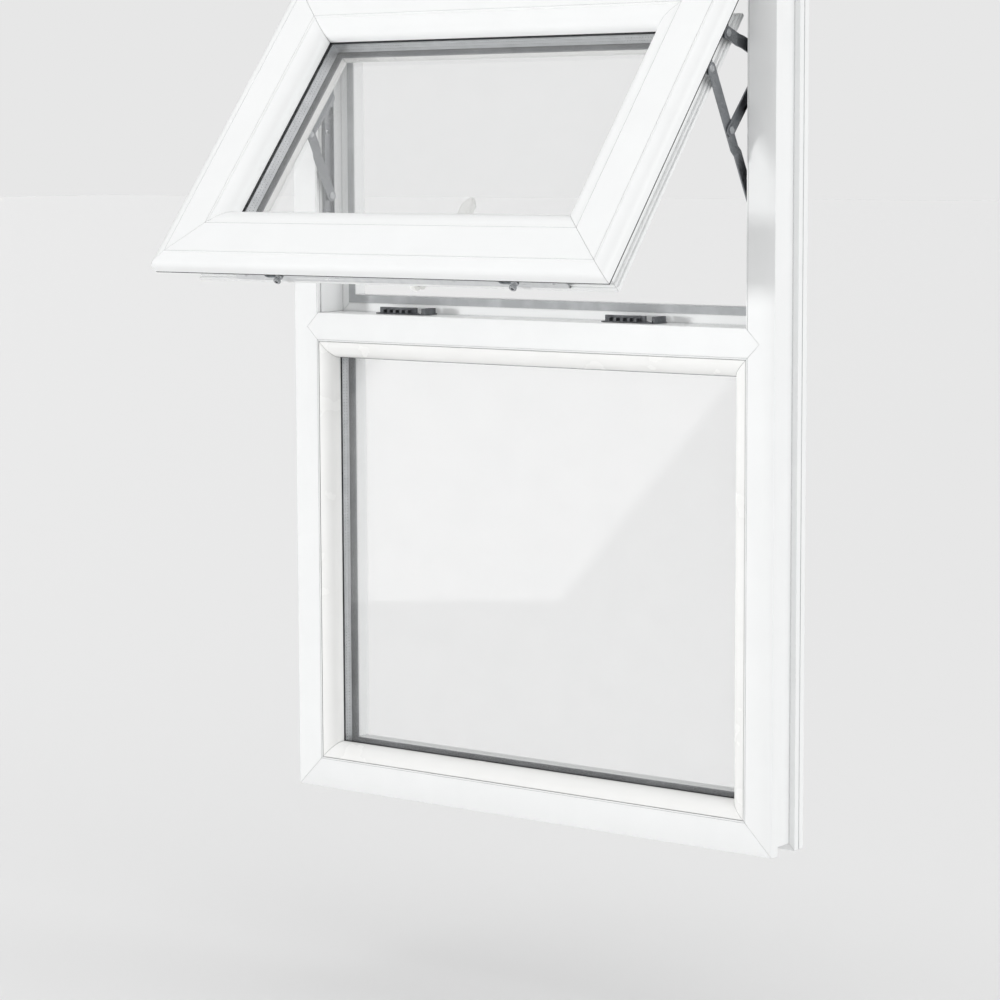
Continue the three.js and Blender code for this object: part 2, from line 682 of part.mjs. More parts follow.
function makeHandle() {
  const at = SASH_BOTTOM + SPINDLE_HEIGHT;
  const { straight, radius, thickness } = BASE;
  const base = withHoles(
    outline([
      ...quarter(straight / 2, 0, radius, radius, -1, 1, 2 * ARC_STEPS),
      ...quarter(-straight / 2, 0, radius, radius, 1, 3, 2 * ARC_STEPS),
    ]),
    [disc(0, 0, SPINDLE_BORE)],
  );
  const button = plateAlongY(disc(0, 0, BUTTON.radius), BUTTON.start, BUTTON.length);
  const spindle = block(
    [-SPINDLE_HALF, GEARBOX.front + 1, -SPINDLE_HALF],
    [SPINDLE_HALF, BASE_REAR + 6, SPINDLE_HALF],
  );
  const pieces = [
    node('handle_base', plateAlongY(base, SASH_REAR + GAP, thickness), enamel),
    node('handle_lever', leverGeometry(), enamel),
    node('handle_spindle', spindle, zincPlate),
    node('handle_lock_button', button, enamel),
  ];
  pieces.forEach((piece) => piece.position.setZ(at));
  return pieces;
}

// ---- stays --------------------------------------------------------------------------------------
// Distances from the jamb's reveal: track, then the arms in two layers, then the sash bar.
const LAYER = {
  track: [0.3, 1.8], lips: 5.6, slider: [2.1, 6.4], jambSide: [6.9, 8.9], sashSide: [9.3, 11.3],
  bar: [11.8, 14],
};
const REVEAL = HALF_WIDTH - FACE_WIDTH;
const TRACK = { low: 742, high: 1000, halfWidth: 9, wall: 1.3 };
const RIVET = 5; // radius of a rivet's head
const SHOE = { halfWidth: 7, halfLength: 12 };
const JOGGLE = 6; // length over which an arm steps from one layer to the next

// Turns a point about the sash's pole, as the sash does when it opens by `angle`.
function swung({ depth, height }, angle) {
  const [y, z] = [depth - POLE_DEPTH, height - POLE_HEIGHT];
  const [c, s] = [Math.cos(angle), Math.sin(angle)];
  return { depth: POLE_DEPTH + y * c + z * s, height: POLE_HEIGHT - y * s + z * c };
}

// The pivot on the sash bar whose distance from a track pivot is the same closed and open.
function barPivot(trackPivot) {
  const angle =
    Math.atan2(trackPivot.depth - POLE_DEPTH, POLE_HEIGHT - trackPivot.height) + OPEN_ANGLE / 2;
  return { depth: BAR_DEPTH, height: POLE_HEIGHT - (BAR_DEPTH - POLE_DEPTH) / Math.tan(angle) };
}

const apart = (a, b) => Math.hypot(a.depth - b.depth, a.height - b.height);
const partWay = (a, b, share) => ({
  depth: a.depth + (b.depth - a.depth) * share,
  height: a.height + (b.height - a.height) * share,
});

const LONG_PIVOT = barPivot(FIXED_PIVOT);
const SHORT_PIVOT = barPivot(UPPER_PIVOT);

// A pressed arm, from its pivot at the origin up along Z. Layers change over each joggle.
function armGeometry(length, layers, joggle) {
  const side = (edge) => {
    if (!joggle) {
      return [[-ARM_WIDTH, -layers[0][edge]], [length + ARM_WIDTH, -layers[0][edge]]];
    }
    return [
      [-ARM_WIDTH, -layers[0][edge]], [joggle[0], -layers[0][edge]],
      [joggle[1], -layers[1][edge]], [length + ARM_WIDTH, -layers[1][edge]],
    ];
  };
  const ribbon = outline([...side(1), ...side(0).reverse()]);
  const strip = reshape(extrude(ribbon, ARM_WIDTH), (x, y, z) => [y, z - ARM_WIDTH / 2, x]);
  return common(strip, plateAlongX(stadium(length, ARM_WIDTH), -LAYER.bar[1], LAYER.bar[1]));
}

// A rivet head over a pivot, from one distance off the reveal to another.
const rivet = (along, from, to) => plateAlongX(disc(0, along, RIVET), -to, to - from);

// Places a piece of a stay at a pivot, turned towards a second point.
function placed(name, geometry, side, from, to) {
  const piece = node(name, forSide(geometry, side), stainless);
  piece.position.set(side * REVEAL, FRONT + from.depth, from.height);
  if (to) {
    piece.rotation.x = Math.atan2(from.depth - to.depth, to.height - from.height);
  }
  return piece;
}

function trackGeometry() {
  const { low, high, halfWidth, wall } = TRACK;
  const [back, floor] = LAYER.track;
  const channel = outline([
    [-back, -halfWidth], [-back, halfWidth],
    [-LAYER.lips, halfWidth], [-LAYER.lips, halfWidth - wall],
    [-floor, halfWidth - wall], [-floor, -halfWidth + wall],
    [-LAYER.lips, -halfWidth + wall], [-LAYER.lips, -halfWidth],
  ]);
  const post = (height) => rivet(height, floor - 0.8, LAYER.jambSide[0] - GAP);
  return join(
    plateAlongZ(channel, low, high - low), post(FIXED_PIVOT.height), post(UPPER_PIVOT.height),
  );
}

function sliderGeometry() {
  const [from, to] = LAYER.slider;
  const { halfWidth, halfLength } = SHOE;
  const shoe = block([-to, -halfWidth, -halfLength], [-from, halfWidth, halfLength]);
  return join(shoe, rivet(0, to - 1, LAYER.jambSide[0] - GAP));
}

function longArmGeometry(length) {
  const joggleEnd = length * LINK_SHARE - 24;
  return join(
    armGeometry(length, [LAYER.jambSide, LAYER.sashSide], [joggleEnd - JOGGLE, joggleEnd]),
    rivet(0, LAYER.jambSide[1] - 0.5, LAYER.jambSide[1] + 1),
  );
}

function makeStay(side) {
  const end = side > 0 ? 'right' : 'left';
  const openLong = swung(LONG_PIVOT, OPEN_ANGLE);
  const openShort = swung(SHORT_PIVOT, OPEN_ANGLE);
  const longLength = apart(FIXED_PIVOT, LONG_PIVOT);
  const shortLength = apart(UPPER_PIVOT, SHORT_PIVOT);
  const linkFoot = partWay(FIXED_PIVOT, openLong, LINK_SHARE);
  const reach = FIXED_PIVOT.depth - linkFoot.depth;
  const sliderPivot = {
    depth: FIXED_PIVOT.depth,
    height: linkFoot.height + Math.sqrt(LINK_LENGTH ** 2 - reach ** 2),
  };
  const link = join(
    armGeometry(LINK_LENGTH, [LAYER.jambSide]),
    rivet(0, LAYER.jambSide[0] - 1, LAYER.jambSide[0] + 0.5),
  );
  const shortArm = join(
    armGeometry(shortLength, [LAYER.jambSide, LAYER.sashSide], [20, 20 + JOGGLE]),
    rivet(shortLength, LAYER.sashSide[0] - 1, LAYER.sashSide[0] + 0.5),
  );
  return [
    placed(`stay_track_${end}`, trackGeometry(), side, { depth: FIXED_PIVOT.depth, height: 0 }),
    placed(`stay_long_arm_${end}`, longArmGeometry(longLength), side, FIXED_PIVOT, openLong),
    placed(`stay_short_arm_${end}`, shortArm, side, UPPER_PIVOT, openShort),
    placed(`stay_link_${end}`, link, side, linkFoot, sliderPivot),
    placed(`stay_slider_${end}`, sliderGeometry(), side, sliderPivot),
  ];
}

const BAR = { start: 176, past: 6, width: 18 }; // past: beyond the short arm's pivot

// The bar along the sash's edge that both arms are riveted to.
function makeSashBar(side) {
  const end = side > 0 ? 'right' : 'left';
  const low = SASH_BOTTOM + BAR.start;
  const length = SHORT_PIVOT.height + BAR.past - low;
  const bar = plateAlongX(stadium(length, BAR.width), -LAYER.bar[1], LAYER.bar[1] - LAYER.bar[0]);
  const piece = node(`sash_bar_${end}`, forSide(bar, side), stainless);
  piece.position.set(side * REVEAL, BAR_DEPTH - RIM_FRONT, low);
  return piece;
}

// ---- assembly -----------------------------------------------------------------------------------
function makeSash() {
  const pieces = [
    ...makeSashFrame(),
    makeFaceplate(),
    makeGearbox(),
    makeDriveBar(),
    makeCam('espag_cam_left', -CAM_SPACING),
    makeCam('espag_cam_right', CAM_SPACING),
    ...makeHandle(),
    makeSashBar(-1),
    makeSashBar(1),
  ];
  const closed = new THREE.Group();
  closed.add(...pieces);
  closed.position.set(0, RIM_FRONT - POLE_DEPTH, -POLE_HEIGHT);
  const swing = new THREE.Group();
  swing.add(closed);
  swing.position.set(0, FRONT + POLE_DEPTH, POLE_HEIGHT);
  swing.rotation.x = -OPEN_ANGLE;
  return swing;
}

const fixedPart = new THREE.Group();
fixedPart.add(...makeFrame(), ...makeLowerLight());
fixedPart.position.y = FRONT;

const window = new THREE.Group();
window.add(
  fixedPart,
  makeKeep('keep_left', -CAM_SPACING - KEEP_LEAD),
  makeKeep('keep_right', CAM_SPACING - KEEP_LEAD),
  ...makeStay(-1),
  ...makeStay(1),
  makeSash(),
);

export default window;
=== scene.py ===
# %% [markdown]
# # A white casement window, built in cells
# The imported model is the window's engineering: welded white profiles, panes, stays and a lock, each
# on the body that carries it. This lesson gives every piece its real surface, adds the small
# fasteners and lips that are finer than the engineering needs, and sets up a bright studio.

# %% Load the window
import json
import math

import bmesh
import bpy
from mathutils import Matrix, Vector


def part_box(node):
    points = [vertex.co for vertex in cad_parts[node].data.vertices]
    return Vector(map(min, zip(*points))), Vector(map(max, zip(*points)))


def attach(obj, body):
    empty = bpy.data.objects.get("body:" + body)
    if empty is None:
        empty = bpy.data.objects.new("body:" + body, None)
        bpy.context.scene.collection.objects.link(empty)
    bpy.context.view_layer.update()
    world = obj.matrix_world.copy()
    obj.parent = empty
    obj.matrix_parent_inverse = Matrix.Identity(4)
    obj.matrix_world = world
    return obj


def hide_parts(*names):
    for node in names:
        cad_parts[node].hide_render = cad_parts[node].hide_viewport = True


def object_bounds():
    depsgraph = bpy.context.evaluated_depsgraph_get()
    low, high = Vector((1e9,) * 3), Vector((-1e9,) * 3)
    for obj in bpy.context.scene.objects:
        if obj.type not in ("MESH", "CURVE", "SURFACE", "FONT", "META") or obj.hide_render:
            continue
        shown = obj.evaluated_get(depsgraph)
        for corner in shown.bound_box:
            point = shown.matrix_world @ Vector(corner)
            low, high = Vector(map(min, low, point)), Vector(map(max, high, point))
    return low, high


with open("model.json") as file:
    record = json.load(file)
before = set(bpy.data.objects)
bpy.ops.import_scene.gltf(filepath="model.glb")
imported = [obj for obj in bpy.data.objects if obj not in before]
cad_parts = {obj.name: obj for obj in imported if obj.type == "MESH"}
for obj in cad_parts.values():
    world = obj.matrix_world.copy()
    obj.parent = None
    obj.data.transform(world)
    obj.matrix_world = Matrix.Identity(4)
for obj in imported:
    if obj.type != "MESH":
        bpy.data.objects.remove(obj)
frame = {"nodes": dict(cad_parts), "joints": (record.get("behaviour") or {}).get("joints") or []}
ENGINEERED_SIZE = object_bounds()
MM = 0.001


# %% [markdown]
# A paint chart gives colours as sRGB hex, but light adds up linearly. One function does the
# change, so that every colour below can be read as on a chart.

# %% Colour from a chart
def linear(hex_colour):
    levels = [int(hex_colour[i : i + 2], 16) / 255 for i in (1, 3, 5)]
    bent = [v / 12.92 if v <= 0.04045 else ((v + 0.055) / 1.055) ** 2.4 for v in levels]
    return (*bent, 1.0)


print("pvc white, linear:", [round(v, 3) for v in linear("#F4F5F5")])


# %% [markdown]
# Every finish is a small network of nodes. One helper adds any node, sets its properties, fills
# its sockets and makes its links, so each recipe below reads as a list of steps.

# %% Add a node
def add(tree, kind, settings=None, **sockets):
    node = tree.nodes.new(kind)
    for name, value in (settings or {}).items():
        setattr(node, name, value)
    for name, value in sockets.items():
        key = int(name[1:]) if name[0] == "_" and name[1:].isdigit() else name.replace("_", " ")
        if isinstance(value, bpy.types.NodeSocket):
            tree.links.new(value, node.inputs[key])
        else:
            node.inputs[key].default_value = value
    return node


def blank_finish(name):
    finish = bpy.data.materials.new(name)
    finish.use_nodes = True
    finish.node_tree.nodes.clear()
    return finish, finish.node_tree


print("node helper ready")

# %% [markdown]
# ## PVC-U profile
# Extruded rigid PVC is white, smooth and slightly glossy, IOR about 1.53. The die leaves very
# faint lines along the bar, and the skin has a fine orange peel, so a highlight on it is never
# quite straight. The lines are noise stretched along the bar, 1.5 mm apart across it; real ones
# are nearer 0.3 mm, and they are drawn coarser so that they show at all. Handling dulls patches of
# the gloss a few centimetres across. Painted shade, together with dust that settles there, greys the
# grooves and mitres into fine lines; ambient occlusion finds them, because it tells how closed in
# each spot is.

# %% PVC-U, extruded
DIE_LINE_PITCH = 1.5 * MM
ORANGE_PEEL = 2.0 * MM
DIE_LINE_LENGTH = 400 * MM
HANDLED_PATCH = 60 * MM
CREASE_REACH = 2.5 * MM
CREASE_SHADE_AND_DUST = "#8C8E8F"


def extruded_pvc(name, clean, handled, along, gloss):
    finish, tree = blank_finish(name)
    place = add(tree, "ShaderNodeTexCoord").outputs["Object"]
    pitch = [1 / DIE_LINE_PITCH] * 3
    pitch[along] = 1 / DIE_LINE_LENGTH
    run = add(tree, "ShaderNodeMapping", Vector=place, Scale=pitch)
    die_lines = add(tree, "ShaderNodeTexNoise", Vector=run.outputs[0], Scale=1.0, Detail=2.0)
    peel = add(tree, "ShaderNodeTexNoise", Vector=place, Scale=1 / ORANGE_PEEL, Detail=1.0)
    patch = add(tree, "ShaderNodeTexNoise", Vector=place, Scale=1 / HANDLED_PATCH, Detail=4.0)
    tint = add(tree, "ShaderNodeMix", {"data_type": "RGBA"}, _0=patch.outputs[0],
               _6=linear(handled), _7=linear(clean))
    # Painted shade and dust: ambient occlusion greys the colour in grooves, mitres and other
    # closed-in spots.
    crease = add(tree, "ShaderNodeAmbientOcclusion", {"samples": 6}, Distance=CREASE_REACH)
    shade_and_dust_mask = add(tree, "ShaderNodeMapRange", Value=crease.outputs["AO"], From_Min=0.35,
                From_Max=0.85, To_Min=0.55, To_Max=0.0)
    shade_and_dust_tint = add(tree, "ShaderNodeMix", {"data_type": "RGBA"}, _0=shade_and_dust_mask.outputs[0],
                  _6=tint.outputs[2], _7=linear(CREASE_SHADE_AND_DUST))
    dull = add(tree, "ShaderNodeMapRange", Value=patch.outputs[0], To_Min=gloss + 0.08,
               To_Max=gloss - 0.04)
    lines = add(tree, "ShaderNodeBump", Strength=0.10, Distance=0.05 * MM,
                Height=die_lines.outputs[0])
    skin = add(tree, "ShaderNodeBump", Strength=0.08, Distance=0.08 * MM,
               Height=peel.outputs[0], Normal=lines.outputs[0])
    pvc = add(tree, "ShaderNodeBsdfPrincipled", Base_Color=shade_and_dust_tint.outputs[2],
              Roughness=dull.outputs[0], Normal=skin.outputs[0], IOR=1.53)
    add(tree, "ShaderNodeOutputMaterial", Surface=pvc.outputs[0])
    return finish


PVC_ACROSS = extruded_pvc("pvc_extruded_across", "#F7F8F8", "#F1F2F2", 0, 0.30)
PVC_UPRIGHT = extruded_pvc("pvc_extruded_upright", "#F7F8F8", "#F1F2F2", 2, 0.30)
BEAD_ACROSS = extruded_pvc("pvc_bead_across", "#F8F8F7", "#F2F2F0", 0, 0.24)
BEAD_UPRIGHT = extruded_pvc("pvc_bead_upright", "#F8F8F7", "#F2F2F0", 2, 0.24)
print("PVC finishes:", PVC_ACROSS.name, PVC_UPRIGHT.name, BEAD_ACROSS.name, BEAD_UPRIGHT.name)

# %% [markdown]
# ## Float glass
# A window pane mirrors about 4% of what meets each face head on, and more at a slant, and lets
# the rest through almost untinted. A pane this thin doesn't visibly shift what is behind it, so it
# is a clear shader with a mirror over it, mixed by Fresnel. That also lets the lamps through
# without noise. The inward-facing side of each surface stays clear, because a second, inner
# reflection would lie on top of the first. Faint rain and dust marks, some 90 mm across, catch the
# light as a thin white film.

# %% Float glass
DUST_MARKS = 90 * MM


def float_glass(name, through, dust):
    finish, tree = blank_finish(name)
    place = add(tree, "ShaderNodeTexCoord").outputs["Object"]
    clear = add(tree, "ShaderNodeBsdfTransparent", Color=linear(through))
    mirror = add(tree, "ShaderNodeBsdfGlossy", Color=linear("#FFFFFF"), Roughness=0.03)
    slant = add(tree, "ShaderNodeFresnel", IOR=1.52)
    outside = add(tree, "ShaderNodeNewGeometry")
    front = add(tree, "ShaderNodeMath", {"operation": "SUBTRACT"}, _0=1.0,
                _1=outside.outputs["Backfacing"])
    share = add(tree, "ShaderNodeMath", {"operation": "MULTIPLY"}, _0=slant.outputs[0],
                _1=front.outputs[0])
    pane = add(tree, "ShaderNodeMixShader", _0=share.outputs[0], _1=clear.outputs[0],
               _2=mirror.outputs[0])
    marks = add(tree, "ShaderNodeTexNoise", Vector=place, Scale=1 / DUST_MARKS, Detail=6.0)
    film = add(tree, "ShaderNodeMapRange", Value=marks.outputs[0], From_Min=0.35, From_Max=0.8,
               To_Min=dust / 2, To_Max=dust)
    bloom = add(tree, "ShaderNodeBsdfDiffuse", Color=linear("#F2F4F4"), Roughness=0.4)
    glass = add(tree, "ShaderNodeMixShader", _0=film.outputs[0], _1=pane.outputs[0],
                _2=bloom.outputs[0])
    add(tree, "ShaderNodeOutputMaterial", Surface=glass.outputs[0])
    return finish


FLOAT_GLASS = float_glass("float_glass", "#FFFFFF", 0.05)
print("glass finish:", FLOAT_GLASS.name)

# %% [markdown]
# ## Rubber seals
# EPDM is extruded too, but it is matt: carbon black or a grey filler in a soft rubber, with a fine
# grain and a bloom of talc that greys the high spots. Roughness about 0.7.

# %% EPDM rubber
TALC_PATCH = 25 * MM


def epdm(name, body, bloom, grain_mm):
    finish, tree = blank_finish(name)
    place = add(tree, "ShaderNodeTexCoord").outputs["Object"]
    grain = add(tree, "ShaderNodeTexNoise", Vector=place, Scale=1 / (grain_mm * MM), Detail=3.0)
    talc = add(tree, "ShaderNodeTexNoise", Vector=place, Scale=1 / TALC_PATCH, Detail=5.0)
    dusted = add(tree, "ShaderNodeMapRange", Value=talc.outputs[0], From_Min=0.4, From_Max=0.75)
    tint = add(tree, "ShaderNodeMix", {"data_type": "RGBA"}, _0=dusted.outputs[0],
               _6=linear(body), _7=linear(bloom))
    matt = add(tree, "ShaderNodeMapRange", Value=grain.outputs[0], To_Min=0.6, To_Max=0.8)
    skin = add(tree, "ShaderNodeBump", Strength=0.3, Distance=0.1 * MM, Height=grain.outputs[0])
    rubber = add(tree, "ShaderNodeBsdfPrincipled", Base_Color=tint.outputs[2],
                 Roughness=matt.outputs[0], Normal=skin.outputs[0], IOR=1.5)
    add(tree, "ShaderNodeOutputMaterial", Surface=rubber.outputs[0])
    return finish


EPDM_BLACK = epdm("epdm_black", "#232426", "#3A3B3D", 0.8)
EPDM_SHADE = epdm("epdm_mid_grey", "#6E7073", "#808285", 0.8)
EPDM_GREY = epdm("epdm_grey", "#A9ABAD", "#BDBFC1", 0.8)
print("rubber finishes:", EPDM_BLACK.name, EPDM_SHADE.name, EPDM_GREY.name)

# %% [markdown]
# ## Metals
# Six metals meet in this window. They differ in colour, in how rough they are, and in the pattern
# that their making leaves: rolled strip has fine lines, hot zinc freezes in leaf-shaped spangles,
# a bright zinc bath leaves a cloudy film, and a casting has a sandy skin. One recipe covers them:
# a base metal, a second tone laid over it by the pattern, and a shallow bump of the same pattern.

# %% Metals
FILM_CLOUD = 14 * MM


def metal(name, base, film, rough, pattern, size_mm, relief_mm, stretch=(1, 1, 1)):
    finish, tree = blank_finish(name)
    place = add(tree, "ShaderNodeTexCoord").outputs["Object"]
    run = add(tree, "ShaderNodeMapping", Vector=place,
              Scale=[s / (size_mm * MM) for s in stretch])
    marks = add(tree, pattern, Vector=run.outputs[0], Scale=1.0)
    tone = marks.outputs["Distance"] if "Distance" in marks.outputs else marks.outputs[0]
    cloud = add(tree, "ShaderNodeTexNoise", Vector=place, Scale=1 / FILM_CLOUD, Detail=4.0)
    both = add(tree, "ShaderNodeMath", {"operation": "MULTIPLY"}, _0=tone, _1=cloud.outputs[0])
    mixed = add(tree, "ShaderNodeMapRange", Value=both.outputs[0], From_Min=0.1, From_Max=0.45)
    tint = add(tree, "ShaderNodeMix", {"data_type": "RGBA"}, _0=mixed.outputs[0],
               _6=linear(base), _7=linear(film))
    sheen = add(tree, "ShaderNodeMapRange", Value=both.outputs[0], From_Min=0.1, From_Max=0.45,
                To_Min=rough - 0.06, To_Max=rough + 0.1)
    skin = add(tree, "ShaderNodeBump", Strength=0.4, Distance=relief_mm * MM, Height=tone)
    surface = add(tree, "ShaderNodeBsdfPrincipled", Base_Color=tint.outputs[2], Metallic=1.0,
                  Roughness=sheen.outputs[0], Normal=skin.outputs[0])
    add(tree, "ShaderNodeOutputMaterial", Surface=surface.outputs[0])
    return finish


NOISE, SPANGLE = "ShaderNodeTexNoise", "ShaderNodeTexVoronoi"
ALONG_BAR = (1, 6, 1)
STAINLESS = metal("stainless_strip_tumbled", "#97999C", "#7E8185", 0.30, NOISE, 1.2, 0.008)
RIVET_STEEL = metal("stainless_rivet_turned", "#C4C6C8", "#A6A8AB", 0.22, NOISE, 0.6, 0.01)
ZINC_BRIGHT = metal("steel_zinc_plated", "#ECEDEE", "#DFE1E3", 0.32, NOISE, 9.0, 0.004)
ZINC_CAST = metal("zinc_die_cast_black_passivated", "#86888B", "#606265", 0.40, NOISE, 0.5, 0.05)
GALVANISED = metal("steel_hot_dip_galvanised", "#B3B7BA", "#969A9E", 0.42, SPANGLE, 7.0, 0.03)
ALUMINIUM = metal("aluminium_spacer_mill", "#DADCDE", "#C6C9CB", 0.45, NOISE, 0.8, 0.01, ALONG_BAR)
METALS = (STAINLESS, RIVET_STEEL, ZINC_BRIGHT, ZINC_CAST, GALVANISED, ALUMINIUM)
print("metals:", [m.name for m in METALS])

# %% [markdown]
# ## Powder coat
# The handle is a zinc casting under about 0.08 mm of baked powder. Powder melts into a gloss with
# an orange peel a millimetre or two across, deeper than that on PVC, under a hard clear skin.

# %% Powder coat
POWDER_PEEL = 1.6 * MM
RUBBED_PATCH = 30 * MM


def powder_coat(name, colour, worn):
    finish, tree = blank_finish(name)
    place = add(tree, "ShaderNodeTexCoord").outputs["Object"]
    peel = add(tree, "ShaderNodeTexNoise", Vector=place, Scale=1 / POWDER_PEEL, Detail=1.0)
    rubbed = add(tree, "ShaderNodeTexNoise", Vector=place, Scale=1 / RUBBED_PATCH, Detail=4.0)
    tint = add(tree, "ShaderNodeMix", {"data_type": "RGBA"}, _0=rubbed.outputs[0],
               _6=linear(worn), _7=linear(colour))
    gloss = add(tree, "ShaderNodeMapRange", Value=rubbed.outputs[0], To_Min=0.22, To_Max=0.36)
    skin = add(tree, "ShaderNodeBump", Strength=0.25, Distance=0.08 * MM, Height=peel.outputs[0])
    coat = add(tree, "ShaderNodeBsdfPrincipled", Base_Color=tint.outputs[2],
               Roughness=gloss.outputs[0], Normal=skin.outputs[0], Coat_Weight=0.3,
               Coat_Roughness=0.12)
    add(tree, "ShaderNodeOutputMaterial", Surface=coat.outputs[0])
    return finish


POWDER_WHITE = powder_coat("powder_coat_white", "#F8F8F6", "#F0F0ED")
print("powder coat:", POWDER_WHITE.name)

# %% [markdown]
# ## Soft arrises
# No real edge is a knife edge: a die, a press or a mould leaves it rounded by a few tenths of a
# millimetre, and that round catches a thin line of light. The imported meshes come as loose
# triangles, so a small node group joins them first and shades them smooth, and a bevel then rounds
# each edge that turns by more than 25 degrees. Both are modifiers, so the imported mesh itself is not
# changed. The flat panes are left out, since smoothing would make them look bent.

# %% Join the facets
SAME_POINT = 0.002 * MM


def joining_group():
    tree = bpy.data.node_groups.new("join_facets", "GeometryNodeTree")
    tree.interface.new_socket("Geometry", in_out="INPUT", socket_type="NodeSocketGeometry")
    tree.interface.new_socket("Geometry", in_out="OUTPUT", socket_type="NodeSocketGeometry")
    given = add(tree, "NodeGroupInput")
    loose = add(tree, "GeometryNodeRemoveAttribute", Geometry=given.outputs[0],
                Name="custom_normal")
    joined = add(tree, "GeometryNodeMergeByDistance", Geometry=loose.outputs[0],
                 Distance=SAME_POINT)
    smooth = add(tree, "GeometryNodeSetShadeSmooth", Geometry=joined.outputs[0])
    add(tree, "NodeGroupOutput", Geometry=smooth.outputs[0])
    return tree


JOIN_FACETS = joining_group()
ARRIS_TURN_DEG = 25


def soften(piece, round_mm):
    if not round_mm:
        return
    join = piece.modifiers.new("join_facets", "NODES")
    join.node_group = JOIN_FACETS
    arris = piece.modifiers.new("soft_arris", "BEVEL")
    arris.width = round_mm * MM
    arris.segments = 2
    arris.limit_method = "ANGLE"
    arris.angle_limit = math.radians(ARRIS_TURN_DEG)
    arris.use_clamp_overlap = False
    arris.harden_normals = True


print("softening ready:", JOIN_FACETS.name)

# %% [markdown]
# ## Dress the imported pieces
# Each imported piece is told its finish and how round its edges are. Bars that run across the window
# take the finish whose die lines run across, and uprights the other. The first line whose word is
# part of a piece's name decides.

# %% Finish of each piece
FINISHES = [
    ("sash_glass", FLOAT_GLASS, 0.0), ("lower_glass", FLOAT_GLASS, 0.0),
    ("gasket_inner", EPDM_SHADE, 0.15), ("gasket", EPDM_BLACK, 0.15),
    ("rim_seal", EPDM_BLACK, 0.15), ("rebate_seal", EPDM_GREY, 0.15), ("spacer", ALUMINIUM, 0.15),
    ("jamb_steel", GALVANISED, 0.2), ("transom_steel", GALVANISED, 0.2),
    ("bead_left", BEAD_UPRIGHT, 0.12), ("bead_right", BEAD_UPRIGHT, 0.12),
    ("bead_top", BEAD_ACROSS, 0.12), ("bead_bottom", BEAD_ACROSS, 0.12),
    ("jamb", PVC_UPRIGHT, 0.12), ("stile", PVC_UPRIGHT, 0.12),
    ("frame", PVC_ACROSS, 0.12), ("transom", PVC_ACROSS, 0.12), ("rail", PVC_ACROSS, 0.12),
    ("keep", ZINC_CAST, 0.35), ("drive_bar", GALVANISED, 0.2),
    ("faceplate", ZINC_BRIGHT, 0.25), ("gearbox", ZINC_BRIGHT, 0.4),
    ("spindle", ZINC_BRIGHT, 0.3), ("espag_cam", RIVET_STEEL, 0.4),
    ("handle", POWDER_WHITE, 0.6), ("stay", STAINLESS, 0.25), ("sash_bar", STAINLESS, 0.25),
]

for name, piece in frame["nodes"].items():
    _, finish, round_mm = next(row for row in FINISHES if row[0] in name)
    for place in piece.material_slots:
        place.material = finish
    soften(piece, round_mm)
print("dressed", len(frame["nodes"]), "packed pieces")

# %% [markdown]
# ## Where things are
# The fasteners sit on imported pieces, so their places come from those pieces' boxes and from the
# pivots in the record. The open casement leans, so it has its own directions: out through its
# indoor face, up its stile, and along the width.

# %% Pivots and the casement's directions
PIVOT = {j["name"]: Vector(j["pos_m"]) for j in frame["joints"] if j.get("pos_m")}
TURN = {j["name"]: Vector(j["axis"]) for j in frame["joints"]}
ACROSS = Vector((1, 0, 0))
INDOORS = TURN["handle_turn"].normalized()
UP_SASH = ACROSS.cross(INDOORS)


def middle(node):
    low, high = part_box(node)
    return (low + high) / 2


def in_sash(point):
    return Vector((point.x, point.dot(INDOORS), point.dot(UP_SASH)))


def from_sash(x, deep, up):
    return ACROSS * x + INDOORS * deep + UP_SASH * up


def sash_reach(node):
    corners = [in_sash(v.co) for v in frame["nodes"][node].data.vertices]
    return [(min(axis), max(axis)) for axis in zip(*corners)]


print("casement leans", round(math.degrees(INDOORS.angle(Vector((0, 1, 0)))), 1), "degrees")

# %% [markdown]
# ## From points to pieces
# An added piece is first drawn as loose points and faces, then stored as a mesh, and then set out
# in the scene as an object. Small helpers take each step, so the cells below only describe shapes.

# %% Meshes and pieces
def mesh_from(name, work):
    mesh = bpy.data.meshes.new(name)
    work.to_mesh(mesh)
    work.free()
    return mesh


def set_out(name, content):
    piece = bpy.data.objects.new(name, content)
    bpy.context.collection.objects.link(piece)
    return piece


def built(name, work, finish):
    mesh = mesh_from(name, work)
    mesh.materials.append(finish)
    return set_out(name, mesh)


print("piece helpers ready")

# %% [markdown]
# ## Turned and pressed fasteners
# A screw head or a rivet is a shape turned about its own axis, so it is made as rings of points
# round that axis from an outline of (radius, height). A cross recess is pressed into a screw head
# by lowering the points that fall inside a cross, which is how a punch makes the real one. The
# cross's half width and depth are shares of its length.

# %% Turned heads
CROSS_MM, CROSS_ARM, CROSS_REACH, CROSS_DEPTH = 3.4, 0.14, 0.5, 0.35


def turned_mesh(name, profile, cross_mm=0.0, around=32):
    work = bmesh.new()
    rings = []
    for radius, height in profile:
        ring = []
        for i in range(around):
            angle = 2 * math.pi * i / around
            x, y = radius * math.cos(angle), radius * math.sin(angle)
            thin, far = sorted((abs(x), abs(y)))
            arm = thin < CROSS_ARM * cross_mm and far < CROSS_REACH * cross_mm
            sunk = CROSS_DEPTH * cross_mm if arm and height > 0 else 0.0
            ring.append(work.verts.new((x * MM, y * MM, (height - sunk) * MM)))
        rings.append(ring)
    for low, high in zip(rings, rings[1:]):
        for i in range(around):
            k = (i + 1) % around
            work.faces.new((low[i], low[k], high[k], high[i]))
    work.faces.new(list(reversed(rings[0])))
    work.faces.new(rings[-1])
    bmesh.ops.recalc_face_normals(work, faces=work.faces)
    return mesh_from(name, work)


